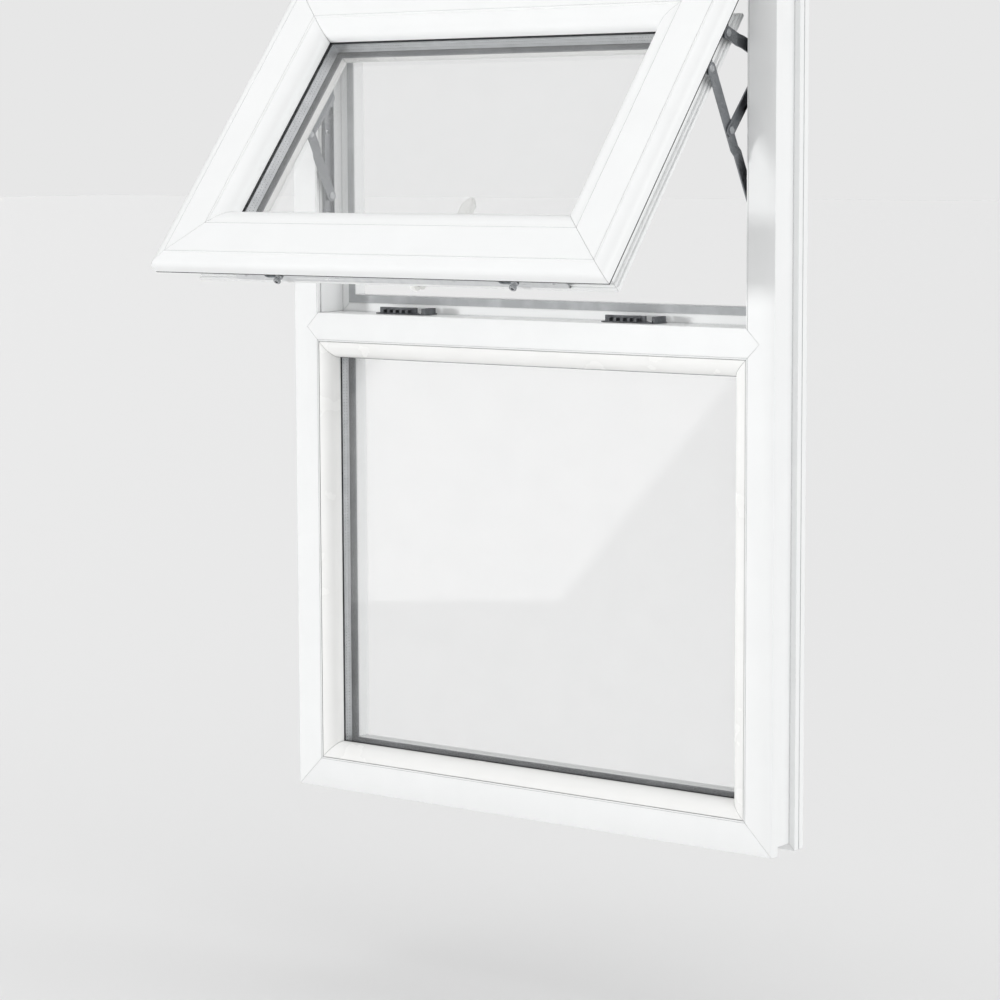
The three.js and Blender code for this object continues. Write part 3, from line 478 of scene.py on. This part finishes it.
def dome(radius, height, steps=7):
    arc = [math.pi / 2 * i / steps for i in range(steps)]
    rise = [(radius * math.cos(a), height * (0.25 + 0.75 * math.sin(a))) for a in arc]
    return [(radius * 0.96, -0.05), (radius, 0.0), *rise, (radius * 0.04, height)]


RAISED_HEAD = dome(3.4, 1.0)
FLAT_HEAD = dome(3.4, 0.25)
RIVET_HEAD = [(4.6, -0.05), (4.6, 0.12), (4.2, 0.28), (3.1, 0.3), (2.9, 0.18), (2.2, 0.18),
              (2.0, 0.28), (1.1, 0.3), (0.9, 0.16), (0.1, 0.14)]
print("head outlines:", len(RAISED_HEAD), len(FLAT_HEAD), len(RIVET_HEAD), "points")

# %% [markdown]
# A head is set by the point it sits on and the way it faces, and its cross is turned by some angle,
# since no two real screws stop at the same one. Edges that turn by more than 38 degrees are kept
# sharp, while the rest of the head is shaded smooth.

# %% Fix a head to a piece
CRISP_TURN_DEG = 38


def fix(name, mesh, at, facing, body, finish, turn_deg=0.0):
    piece = set_out(name, mesh)
    aim = facing.to_track_quat("Z", "Y").to_matrix().to_4x4()
    spin = Matrix.Rotation(math.radians(turn_deg), 4, "Z")
    piece.matrix_world = Matrix.Translation(at) @ aim @ spin
    if not mesh.materials:
        mesh.materials.append(finish)
    for face in mesh.polygons:
        face.use_smooth = True
    crisp = piece.modifiers.new("crisp_edges", "EDGE_SPLIT")
    crisp.split_angle = math.radians(CRISP_TURN_DEG)
    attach(piece, body)
    return piece


TRACK_SCREW = turned_mesh("track_screw", RAISED_HEAD, CROSS_MM)
PLATE_SCREW = turned_mesh("plate_screw", RAISED_HEAD, CROSS_MM)
KEEP_SCREW = turned_mesh("keep_screw", RAISED_HEAD, CROSS_MM)
BAR_SCREW = turned_mesh("bar_screw", FLAT_HEAD, CROSS_MM)
STAY_RIVET = turned_mesh("stay_rivet", RIVET_HEAD)
print("fastener meshes:", TRACK_SCREW.name, PLATE_SCREW.name, KEEP_SCREW.name, STAY_RIVET.name)

# %% [markdown]
# ## Screws and rivets of the stays
# Each track is screwed through its floor into the jamb's steel, and each sash bar through its face
# into the sash. The track has no screw where its slider runs.

# %% Track screws
SIDES = {"left": 1, "right": -1}
TRACK_FLOOR, END_SCREW, MIDDLE_SCREW = 1.5 * MM, 12 * MM, 118 * MM
fitted = []
for end, inward in SIDES.items():
    low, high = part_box(f"stay_track_{end}")
    wall = low.x if inward > 0 else high.x
    floor_x = wall + inward * TRACK_FLOOR
    depth = (low.y + high.y) / 2
    heights = (low.z + END_SCREW, low.z + MIDDLE_SCREW, high.z - END_SCREW)
    for i, z in enumerate(heights):
        at = Vector((floor_x, depth, z))
        fitted.append(fix(f"track_screw_{end}_{i}", TRACK_SCREW, at, ACROSS * inward, "frame",
                          RIVET_STEEL, 25 + 31 * i))
print("track screws:", len(fitted))

# %% [markdown]
# The stay's arms turn on rivets with a ringed head. The rivets and the screws of the sash bars have
# nearly flat heads, 0.3 and 0.25 mm high, because the layers of a closed stay pass within half a
# millimetre of each other. Each rivet sits on the face that is measured round its pin.

# %% Stays' rivets
CASEMENT_PIN = PIVOT["sash_swing"]
PIN_REACH = 10 * MM
PIN_BELOW_END = 6 * MM


def face_at(node, pin, wall, inward, facing):
    corners = [v.co for v in frame["nodes"][node].data.vertices]
    near_pin = [c for c in corners if math.hypot(c.y - pin.y, c.z - pin.z) < PIN_REACH]
    off_wall = [(c.x - wall) * inward for c in near_pin or corners]
    return max(off_wall) if facing > 0 else min(off_wall)


def short_arm_pin(end):
    _, (near, far), (_, high) = sash_reach(f"sash_bar_{end}")
    return from_sash(0, (near + far) / 2, high - (far - near) / 2 - PIN_BELOW_END)


for end, inward in SIDES.items():
    low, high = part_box(f"stay_track_{end}")
    wall = low.x if inward > 0 else high.x
    rivets = [
        ("foot", "long_arm", PIVOT[f"long_arm_turn_{end}"], 1),
        ("upper", "short_arm", PIVOT[f"short_arm_turn_{end}"], 1),
        ("link", "link", PIVOT[f"link_turn_{end}"], -1),
        ("link_back", "long_arm", PIVOT[f"link_turn_{end}"], 1),
        ("casement", "long_arm", CASEMENT_PIN, -1),
        ("short_end", "short_arm", short_arm_pin(end), -1),
    ]
    for word, body, pin, facing in rivets:
        off_wall = face_at(f"stay_{body}_{end}", pin, wall, inward, facing)
        at = Vector((wall + inward * off_wall, pin.y, pin.z))
        fitted.append(fix(f"{word}_rivet_{end}", STAY_RIVET, at, ACROSS * inward * facing,
                          f"{body}_{end}", RIVET_STEEL))
        print(word, end, round(off_wall / MM, 2), "mm off the track's back")
print("stay fasteners:", len(fitted))

# %% [markdown]
# ## Lugged sash bars
# The bar that carries the arms is pressed from one strip: a narrow spine hidden behind the rim, and
# a rounded lug where each arm is riveted on. It is drawn as an outline, filled and given the
# thickness of the sheet, as the press tool does, and it stands for the plain packed bar.

# %% Sash bars
LUG_STEPS, LUG_LEAD, LUG_MARGIN = 12, 4 * MM, 1 * MM
SPINE_BACK, SPINE_FRONT, SPINE_TOP = 8 * MM, 3 * MM, 4 * MM
BAR_SCREWS, BAR_SCREW_BACK = (0.08, 0.3, 0.52), 2.5 * MM


def pressed_plate(name, outline, thickness, place, finish):
    work = bmesh.new()
    face = work.faces.new([work.verts.new(place(a, b, 0)) for a, b in outline])
    push = bmesh.ops.extrude_face_region(work, geom=[face])
    way = place(0, 0, thickness) - place(0, 0, 0)
    moved = [v for v in push["geom"] if isinstance(v, bmesh.types.BMVert)]
    bmesh.ops.translate(work, verts=moved, vec=way)
    bmesh.ops.recalc_face_normals(work, faces=work.faces)
    return built(name, work, finish)


def lugged_outline(spine, ends, pins, radius, lead):
    (inner, outer), (foot, head) = spine, ends
    points = [(inner, foot), (outer, foot)]
    for deep, up in pins:
        points.append((outer, up - radius - lead))
        for i in range(LUG_STEPS + 1):
            angle = math.pi * (i / LUG_STEPS - 0.5)
            points.append((deep + radius * math.cos(angle), up + radius * math.sin(angle)))
        points.append((outer, up + radius + lead))
    return [*points, (outer, head), (inner, head)]


for end, inward in SIDES.items():
    (x0, x1), (near, far), (foot, head) = sash_reach(f"sash_bar_{end}")
    pins = [in_sash(pin) for pin in (CASEMENT_PIN, short_arm_pin(end))]
    radius = (far - near) / 2 - LUG_MARGIN
    outline = lugged_outline((near - SPINE_BACK, near + SPINE_FRONT), (foot, head + SPINE_TOP),
                             [(p.y, p.z) for p in pins], radius, LUG_LEAD)
    bar = pressed_plate(f"sash_bar_lugged_{end}", outline, x1 - x0,
                        lambda a, b, c: from_sash(x0 + c, a, b), STAINLESS)
    arris = bar.modifiers.new("pressed_arris", "BEVEL")
    arris.width, arris.segments = 0.3 * MM, 2
    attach(bar, "sash")
    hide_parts(f"sash_bar_{end}")
    for i, along in enumerate(BAR_SCREWS):
        at = from_sash(x1 if inward < 0 else x0, near - BAR_SCREW_BACK,
                       foot + (head - foot) * along)
        fitted.append(fix(f"bar_screw_{end}_{i}", BAR_SCREW, at, ACROSS * -inward, "sash",
                          RIVET_STEEL, 35 * i))
    print(bar.name, round((head - foot) / MM), "mm long")

# %% [markdown]
# ## Roller cams
# The lock's two cams are turned pins: a neck that slides in the faceplate's slot, a waist, and a
# wider rolling head with a socket for the key that adjusts them. A turned outline gives all of it.

# %% Cams
CAM_TIP = 9.0
CAM_OUTLINE = [(3.0, -3.0), (3.0, 0.2), (4.5, 0.4), (4.5, 1.4), (3.4, 2.2), (3.4, 4.6), (4.2, 5.4),
               (4.5, 5.8), (4.5, 8.3), (4.1, 8.8), (2.2, CAM_TIP), (1.9, 8.7), (1.8, 6.2),
               (0.1, 6.0)]
for end in SIDES:
    (x0, x1), (near, far), (foot, _) = sash_reach(f"espag_cam_{end}")
    at = from_sash((x0 + x1) / 2, (near + far) / 2, foot + CAM_TIP * MM)
    cam = fix(f"roller_cam_{end}", turned_mesh(f"roller_cam_{end}", CAM_OUTLINE), at, -UP_SASH,
              "lock_drive", RIVET_STEEL)
    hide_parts(f"espag_cam_{end}")
print("cams end", CAM_TIP, "mm below their seat")

# %% [markdown]
# ## Lip of the casement's seal
# Behind the casement's rim runs a black seal. Its packed ring is the seal's foot; the soft lip that
# reaches to the rim's edge, and shows from below as a fine dark line, is swept round it here.

# %% Seal lip
def swept_lip(name, section, corners, middle_of, finish):
    work = bmesh.new()
    rings = []
    for x, up in corners:
        out_x, out_up = math.copysign(1, x - middle_of[0]), math.copysign(1, up - middle_of[1])
        rings.append([work.verts.new(from_sash(x + out_x * off, deep, up + out_up * off))
                      for off, deep in section])
    for near, far in zip(rings, rings[1:] + rings[:1]):
        for i in range(len(section)):
            k = (i + 1) % len(section)
            work.faces.new((near[i], near[k], far[k], far[i]))
    bmesh.ops.recalc_face_normals(work, faces=work.faces)
    return built(name, work, finish)


(x0, x1), (near, far), (foot, head) = sash_reach("sash_rim_seal")
LIP = [(0.2 * MM, near + 0.1 * MM), (2.4 * MM, near + 0.2 * MM), (2.7 * MM, near + 1.0 * MM),
       (2.3 * MM, far - 0.1 * MM), (0.2 * MM, far - 0.3 * MM)]
lip = swept_lip("sash_seal_lip", LIP, [(x0, foot), (x1, foot), (x1, head), (x0, head)],
                ((x0 + x1) / 2, (foot + head) / 2), EPDM_BLACK)
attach(lip, "sash")
print("lip runs round", round((x1 - x0) / MM), "by", round((head - foot) / MM), "mm")

# %% [markdown]
# ## Screws of the lock
# The faceplate is held by four raised-head screws, each keep by one, and the handle's base by
# one in each round end.

# %% Lock's screws
PLATE_SCREWS, PLATE_SINK = (-0.232, -0.088, 0.088, 0.232), 0.4 * MM
KEEP_SCREW_ALONG, KEEP_FLOOR = 0.8, 1.2 * MM
BASE_SCREWS, BASE_SINK = (-0.052, 0.052), 0.3 * MM
plate = in_sash(middle("espag_faceplate"))
plate_under = sash_reach("espag_faceplate")[2][0]
for i, x in enumerate(PLATE_SCREWS):
    at = from_sash(x, plate.y, plate_under + PLATE_SINK)
    fitted.append(fix(f"plate_screw_{i}", PLATE_SCREW, at, -UP_SASH, "sash", ZINC_BRIGHT,
                      40 * i))
for end in SIDES:
    low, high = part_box(f"keep_{end}")
    at = Vector((low.x + (high.x - low.x) * KEEP_SCREW_ALONG, (low.y + high.y) / 2,
                 low.z + KEEP_FLOOR))
    fitted.append(fix(f"keep_screw_{end}", KEEP_SCREW, at, Vector((0, 0, 1)), "frame",
                      ZINC_BRIGHT, 15))
base_back, base = sash_reach("handle_base")[1][1], in_sash(middle("handle_base"))
for i, x in enumerate(BASE_SCREWS):
    at = from_sash(x, base_back - BASE_SINK, base.z)
    fitted.append(fix(f"base_screw_{i}", PLATE_SCREW, at, INDOORS, "sash", ZINC_BRIGHT,
                      20 + 50 * i))
print("all fasteners:", len(fitted))

# %% [markdown]
# ## Perforated spacer
# The hollow bar between the panes has rows of pinholes on the side that faces the gap, so that the
# desiccant in it can dry the air there. They run round both units, 4 mm apart. They are too small
# to be worth cutting, so each is a flat dark dot, painted shade for the hole, that lies a hair above
# the bar. The dots are 1.1 mm across; real ones are finer, and they are drawn coarser so that they
# show at all.

# %% Spacer pinholes
HOLE_PITCH, HOLE_RADIUS, HOLE_LIFT = 4 * MM, 0.55 * MM, 0.04 * MM
HOLE_ROWS = (-2.6 * MM, 2.6 * MM)
BAR_WALL = 4 * MM


def pinholes(name, node, turned, body):
    corners = [Vector(v.co) for v in frame["nodes"][node].data.vertices]
    flat = [in_sash(c) for c in corners] if turned else corners
    xs = sorted({round(c.x, 5) for c in flat})
    ups = sorted({round(c.z, 5) for c in flat})
    deep = sum(c.y for c in flat) / len(flat)
    inner_x = [x for x in xs if x > xs[0] + BAR_WALL][0]
    inner_low = [z for z in ups if z > ups[0] + BAR_WALL][0]
    inner_high = [z for z in ups if z < ups[-1] - BAR_WALL][-1]
    work = bmesh.new()

    def dot(centre, first, second):
        turn = [math.pi / 3 * k for k in range(6)]
        rim = [centre + (first * math.cos(a) + second * math.sin(a)) * HOLE_RADIUS for a in turn]
        rim = [from_sash(p.x, p.y, p.z) if turned else p for p in rim]
        work.faces.new([work.verts.new(p) for p in rim])

    deep_way, up_way = Vector((0, 1, 0)), Vector((0, 0, 1))
    for row in HOLE_ROWS:
        for k in range(1, int((inner_high - inner_low) / HOLE_PITCH)):
            z = inner_low + k * HOLE_PITCH
            for side in (1, -1):
                x = side * (inner_x + HOLE_LIFT)
                dot(Vector((x, deep + row, z)), deep_way, up_way * side)
        for k in range(1, int(-2 * inner_x / HOLE_PITCH)):
            x = inner_x + k * HOLE_PITCH
            for z, side in ((inner_low + HOLE_LIFT, -1), (inner_high - HOLE_LIFT, 1)):
                dot(Vector((x, deep + row, z)), deep_way, ACROSS * side)
    # Painted shade: each dot's black rubber finish stands for the dark inside of its hole.
    piece = built(name, work, EPDM_BLACK)
    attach(piece, body)
    print(name, len(piece.data.polygons), "holes")


pinholes("lower_spacer_pinholes", "lower_spacer", False, "frame")
pinholes("sash_spacer_pinholes", "sash_spacer", True, "sash")

# %% [markdown]
# ## Camera
# The window is looked at from outdoors, from its right and from a little above its middle, through
# a long lens that keeps its lines nearly parallel. The direction is set by a turn to the left, a
# dip below the level and a very small tilt of the horizon.

# %% Camera
EYE = Vector((2.2607, -3.0021, 0.8288))
SENSOR_MM, FOCAL_MM, SIGHT_END = 36.0, 109.38, 200
TURN_LEFT, DIP, TILT = (math.radians(a) for a in (37.442, -6.466, -0.217))
looking = Vector((-math.sin(TURN_LEFT) * math.cos(DIP), math.cos(TURN_LEFT) * math.cos(DIP),
                  math.sin(DIP)))
level = Vector((math.cos(TURN_LEFT), math.sin(TURN_LEFT), 0))
above = level.cross(looking)
right = level * math.cos(TILT) + above * math.sin(TILT)
top = above * math.cos(TILT) - level * math.sin(TILT)
lens = bpy.data.cameras.new("studio_camera")
lens.sensor_width, lens.lens = SENSOR_MM, FOCAL_MM
lens.clip_end = SIGHT_END
camera = set_out("studio_camera", lens)
camera.matrix_world = Matrix.Translation(EYE) @ Matrix(
    [(right[i], top[i], -looking[i]) for i in range(3)]
).to_4x4()
bpy.context.scene.camera = camera
print("camera looks along", [round(v, 3) for v in looking])

# %% [markdown]
# ## Studio
# White things need a bright room with some direction in it. A pale floor lies a little below the
# window. The room itself glows, more overhead and on the right than in front, which lights the
# window's side. A key lamp from the left front lights the faces and lays the open casement's
# shadow on the right jamb. It passes the floor by, and a wide lamp overhead lights that instead, so
# only a soft pool of shade lies under the window. The camera sees the room itself as an even pale
# grey, though it lights unevenly. A long slanting panel on the left shows only in reflections, and
# draws a faint bright band across the lower pane.

# %% Light levels
BACKDROP = "#E7E7E7"
ROOM_FRONT, ROOM_RIGHT, CEILING = 0.17, 1.52, 0.80
KEY_LAMP, TOP_LAMP, PANEL_GLOW = 2.6, 0.69, 0.9
FLOOR_DROP = 0.25
FLOOR_REACH = 60.0
print("backdrop level", round(linear(BACKDROP)[0], 3))

# %% [markdown]
# The floor is a sheet of matt paint with the faint mottle that a roller leaves. It is wide enough
# that its far edge melts into the backdrop.

# %% Floor
ROLLER_GRAIN = 8 * MM


def studio_floor():
    finish, tree = blank_finish("studio_floor_paint")
    place = add(tree, "ShaderNodeTexCoord").outputs["Object"]
    roller = add(tree, "ShaderNodeTexNoise", Vector=place, Scale=1 / ROLLER_GRAIN, Detail=2.0)
    tint = add(tree, "ShaderNodeMix", {"data_type": "RGBA"}, _0=roller.outputs[0],
               _6=linear("#E0E0E0"), _7=linear("#E1E1E1"))
    paint = add(tree, "ShaderNodeBsdfDiffuse", Color=tint.outputs[2], Roughness=0.5)
    add(tree, "ShaderNodeOutputMaterial", Surface=paint.outputs[0])
    mesh = bpy.data.meshes.new("studio_floor")
    z = ENGINEERED_SIZE[0][2] - FLOOR_DROP
    edge = FLOOR_REACH
    mesh.from_pydata([(-edge, -edge, z), (edge, -edge, z), (edge, edge, z), (-edge, edge, z)], [],
                     [(0, 1, 2, 3)])
    mesh.materials.append(finish)
    floor = set_out("studio_floor", mesh)
    return floor


FLOOR = studio_floor()
print("floor", FLOOR_DROP, "m below the sill")

# %% [markdown]
# A world can glow by direction: the height and the rightward part of each ray set how bright it
# is. What the camera sees directly is swapped for one even grey.

# %% Room light
room = bpy.data.worlds.new("bright_room")
room.use_nodes = True
tree = room.node_tree
tree.nodes.clear()
way = add(tree, "ShaderNodeTexCoord").outputs["Generated"]
axes = add(tree, "ShaderNodeSeparateXYZ", Vector=way)
overhead = add(tree, "ShaderNodeMapRange", Value=axes.outputs["Z"], From_Min=0.0, From_Max=0.9,
               To_Min=0.0, To_Max=CEILING - ROOM_FRONT)
rightward = add(tree, "ShaderNodeMapRange", Value=axes.outputs["X"], From_Min=0.3, From_Max=0.9,
                To_Min=0.0, To_Max=ROOM_RIGHT - ROOM_FRONT)
sides = add(tree, "ShaderNodeMath", {"operation": "ADD"}, _0=overhead.outputs[0],
            _1=rightward.outputs[0])
lit = add(tree, "ShaderNodeMath", {"operation": "ADD"}, _0=sides.outputs[0], _1=ROOM_FRONT)
sight = add(tree, "ShaderNodeLightPath")
shown = add(tree, "ShaderNodeMix", {"data_type": "FLOAT"}, _0=sight.outputs["Is Camera Ray"],
            _2=lit.outputs[0], _3=linear(BACKDROP)[0])
glow = add(tree, "ShaderNodeBackground", Color=linear("#FFFFFF"), Strength=shown.outputs[0])
add(tree, "ShaderNodeOutputWorld", Surface=glow.outputs[0])
bpy.context.scene.world = room
bpy.context.scene.view_settings.view_transform = "Standard"
print("room light: front", ROOM_FRONT, "right", ROOM_RIGHT, "ceiling", CEILING)

# %% [markdown]
# Both lamps are so far away that their light is parallel. Light linking lets the key lamp light
# all but the floor and the top one only the floor. Neither shows as a spot in the glass.

# %% Lamps
KEY_FROM, KEY_SPREAD = (-0.9, -1.0, 0.0), 9
TOP_FROM, TOP_SPREAD = (0.0, -0.1, 1.0), 50


def far_lamp(name, shines_from, strength, spread_deg, floor_is):
    lamp = bpy.data.lights.new(name, "SUN")
    lamp.energy, lamp.angle = strength, math.radians(spread_deg)
    holder = set_out(name, lamp)
    holder.visible_glossy = False
    holder.matrix_world = Vector(shines_from).to_track_quat("Z", "Y").to_matrix().to_4x4()
    lit = bpy.data.collections.new(f"{name}_lights")
    lit.objects.link(FLOOR)
    lit.collection_objects[0].light_linking.link_state = floor_is
    holder.light_linking.receiver_collection = lit


far_lamp("key_lamp", KEY_FROM, KEY_LAMP, KEY_SPREAD, "EXCLUDE")
far_lamp("top_lamp", TOP_FROM, TOP_LAMP, TOP_SPREAD, "INCLUDE")
print("lamps: key", KEY_LAMP, "and over the floor", TOP_LAMP)

# %% [markdown]
# A studio hangs a bright panel where a pane mirrors it, since clear glass shows mostly by what it
# reflects. This one adds no light to matt surfaces.

# %% Panel for the panes
PANEL_AT = Vector((-2.2, -2.8, 0.15))
PANEL_WIDE, PANEL_TALL, PANEL_LEAN = 0.7, 3.4, -38


def mirror_panel(name, at, wide, tall, lean_deg):
    lamp = bpy.data.lights.new(name, "AREA")
    lamp.shape, lamp.size, lamp.size_y = "RECTANGLE", wide, tall
    lamp.energy = PANEL_GLOW * math.pi * wide * tall
    holder = set_out(name, lamp)
    holder.visible_diffuse = False
    holder.visible_transmission = False
    aim = (at - PANE_MIDDLE).to_track_quat("Z", "Y").to_matrix().to_4x4()
    lean = Matrix.Rotation(math.radians(lean_deg), 4, "Z")
    holder.matrix_world = Matrix.Translation(at) @ aim @ lean


PANE_MIDDLE = middle("lower_glass_outer")
mirror_panel("reflected_panel", PANEL_AT, PANEL_WIDE, PANEL_TALL, PANEL_LEAN)
print("panel aimed at", tuple(round(c, 3) for c in PANE_MIDDLE))
